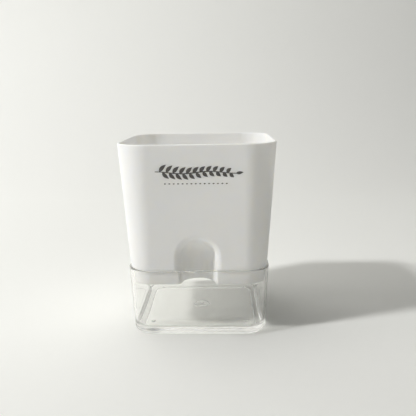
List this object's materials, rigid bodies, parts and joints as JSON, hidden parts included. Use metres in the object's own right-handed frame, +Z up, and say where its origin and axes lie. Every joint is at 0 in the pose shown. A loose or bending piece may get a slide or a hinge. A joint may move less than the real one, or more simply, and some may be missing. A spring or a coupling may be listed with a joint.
{
  "type": "self watering planter",
  "caption": "Tapered square white pot with an arched watering notch, standing by its shoulder on the rim of a clear square water reservoir.",
  "frame": {"origin": "middle of the planter's footprint, on the surface that it stands on", "axes": "+Z up, -Y towards the watering notch, +X to the right of someone facing the notch"},
  "size_m": [0.12, 0.12, 0.15],
  "materials": {
    "clear_plastic": "clear, polished",
    "white_plastic": "satin"
  },
  "bodies": {
    "reservoir": {"reservoir": "clear_plastic"},
    "pot": {"inner_pot": "white_plastic"}
  },
  "joints": [
    {"name": "pot_lift", "type": "slide", "parent": "reservoir", "child": "pot", "axis": [0, 0, 1], "range_m": [0, 0.04]}
  ]
}
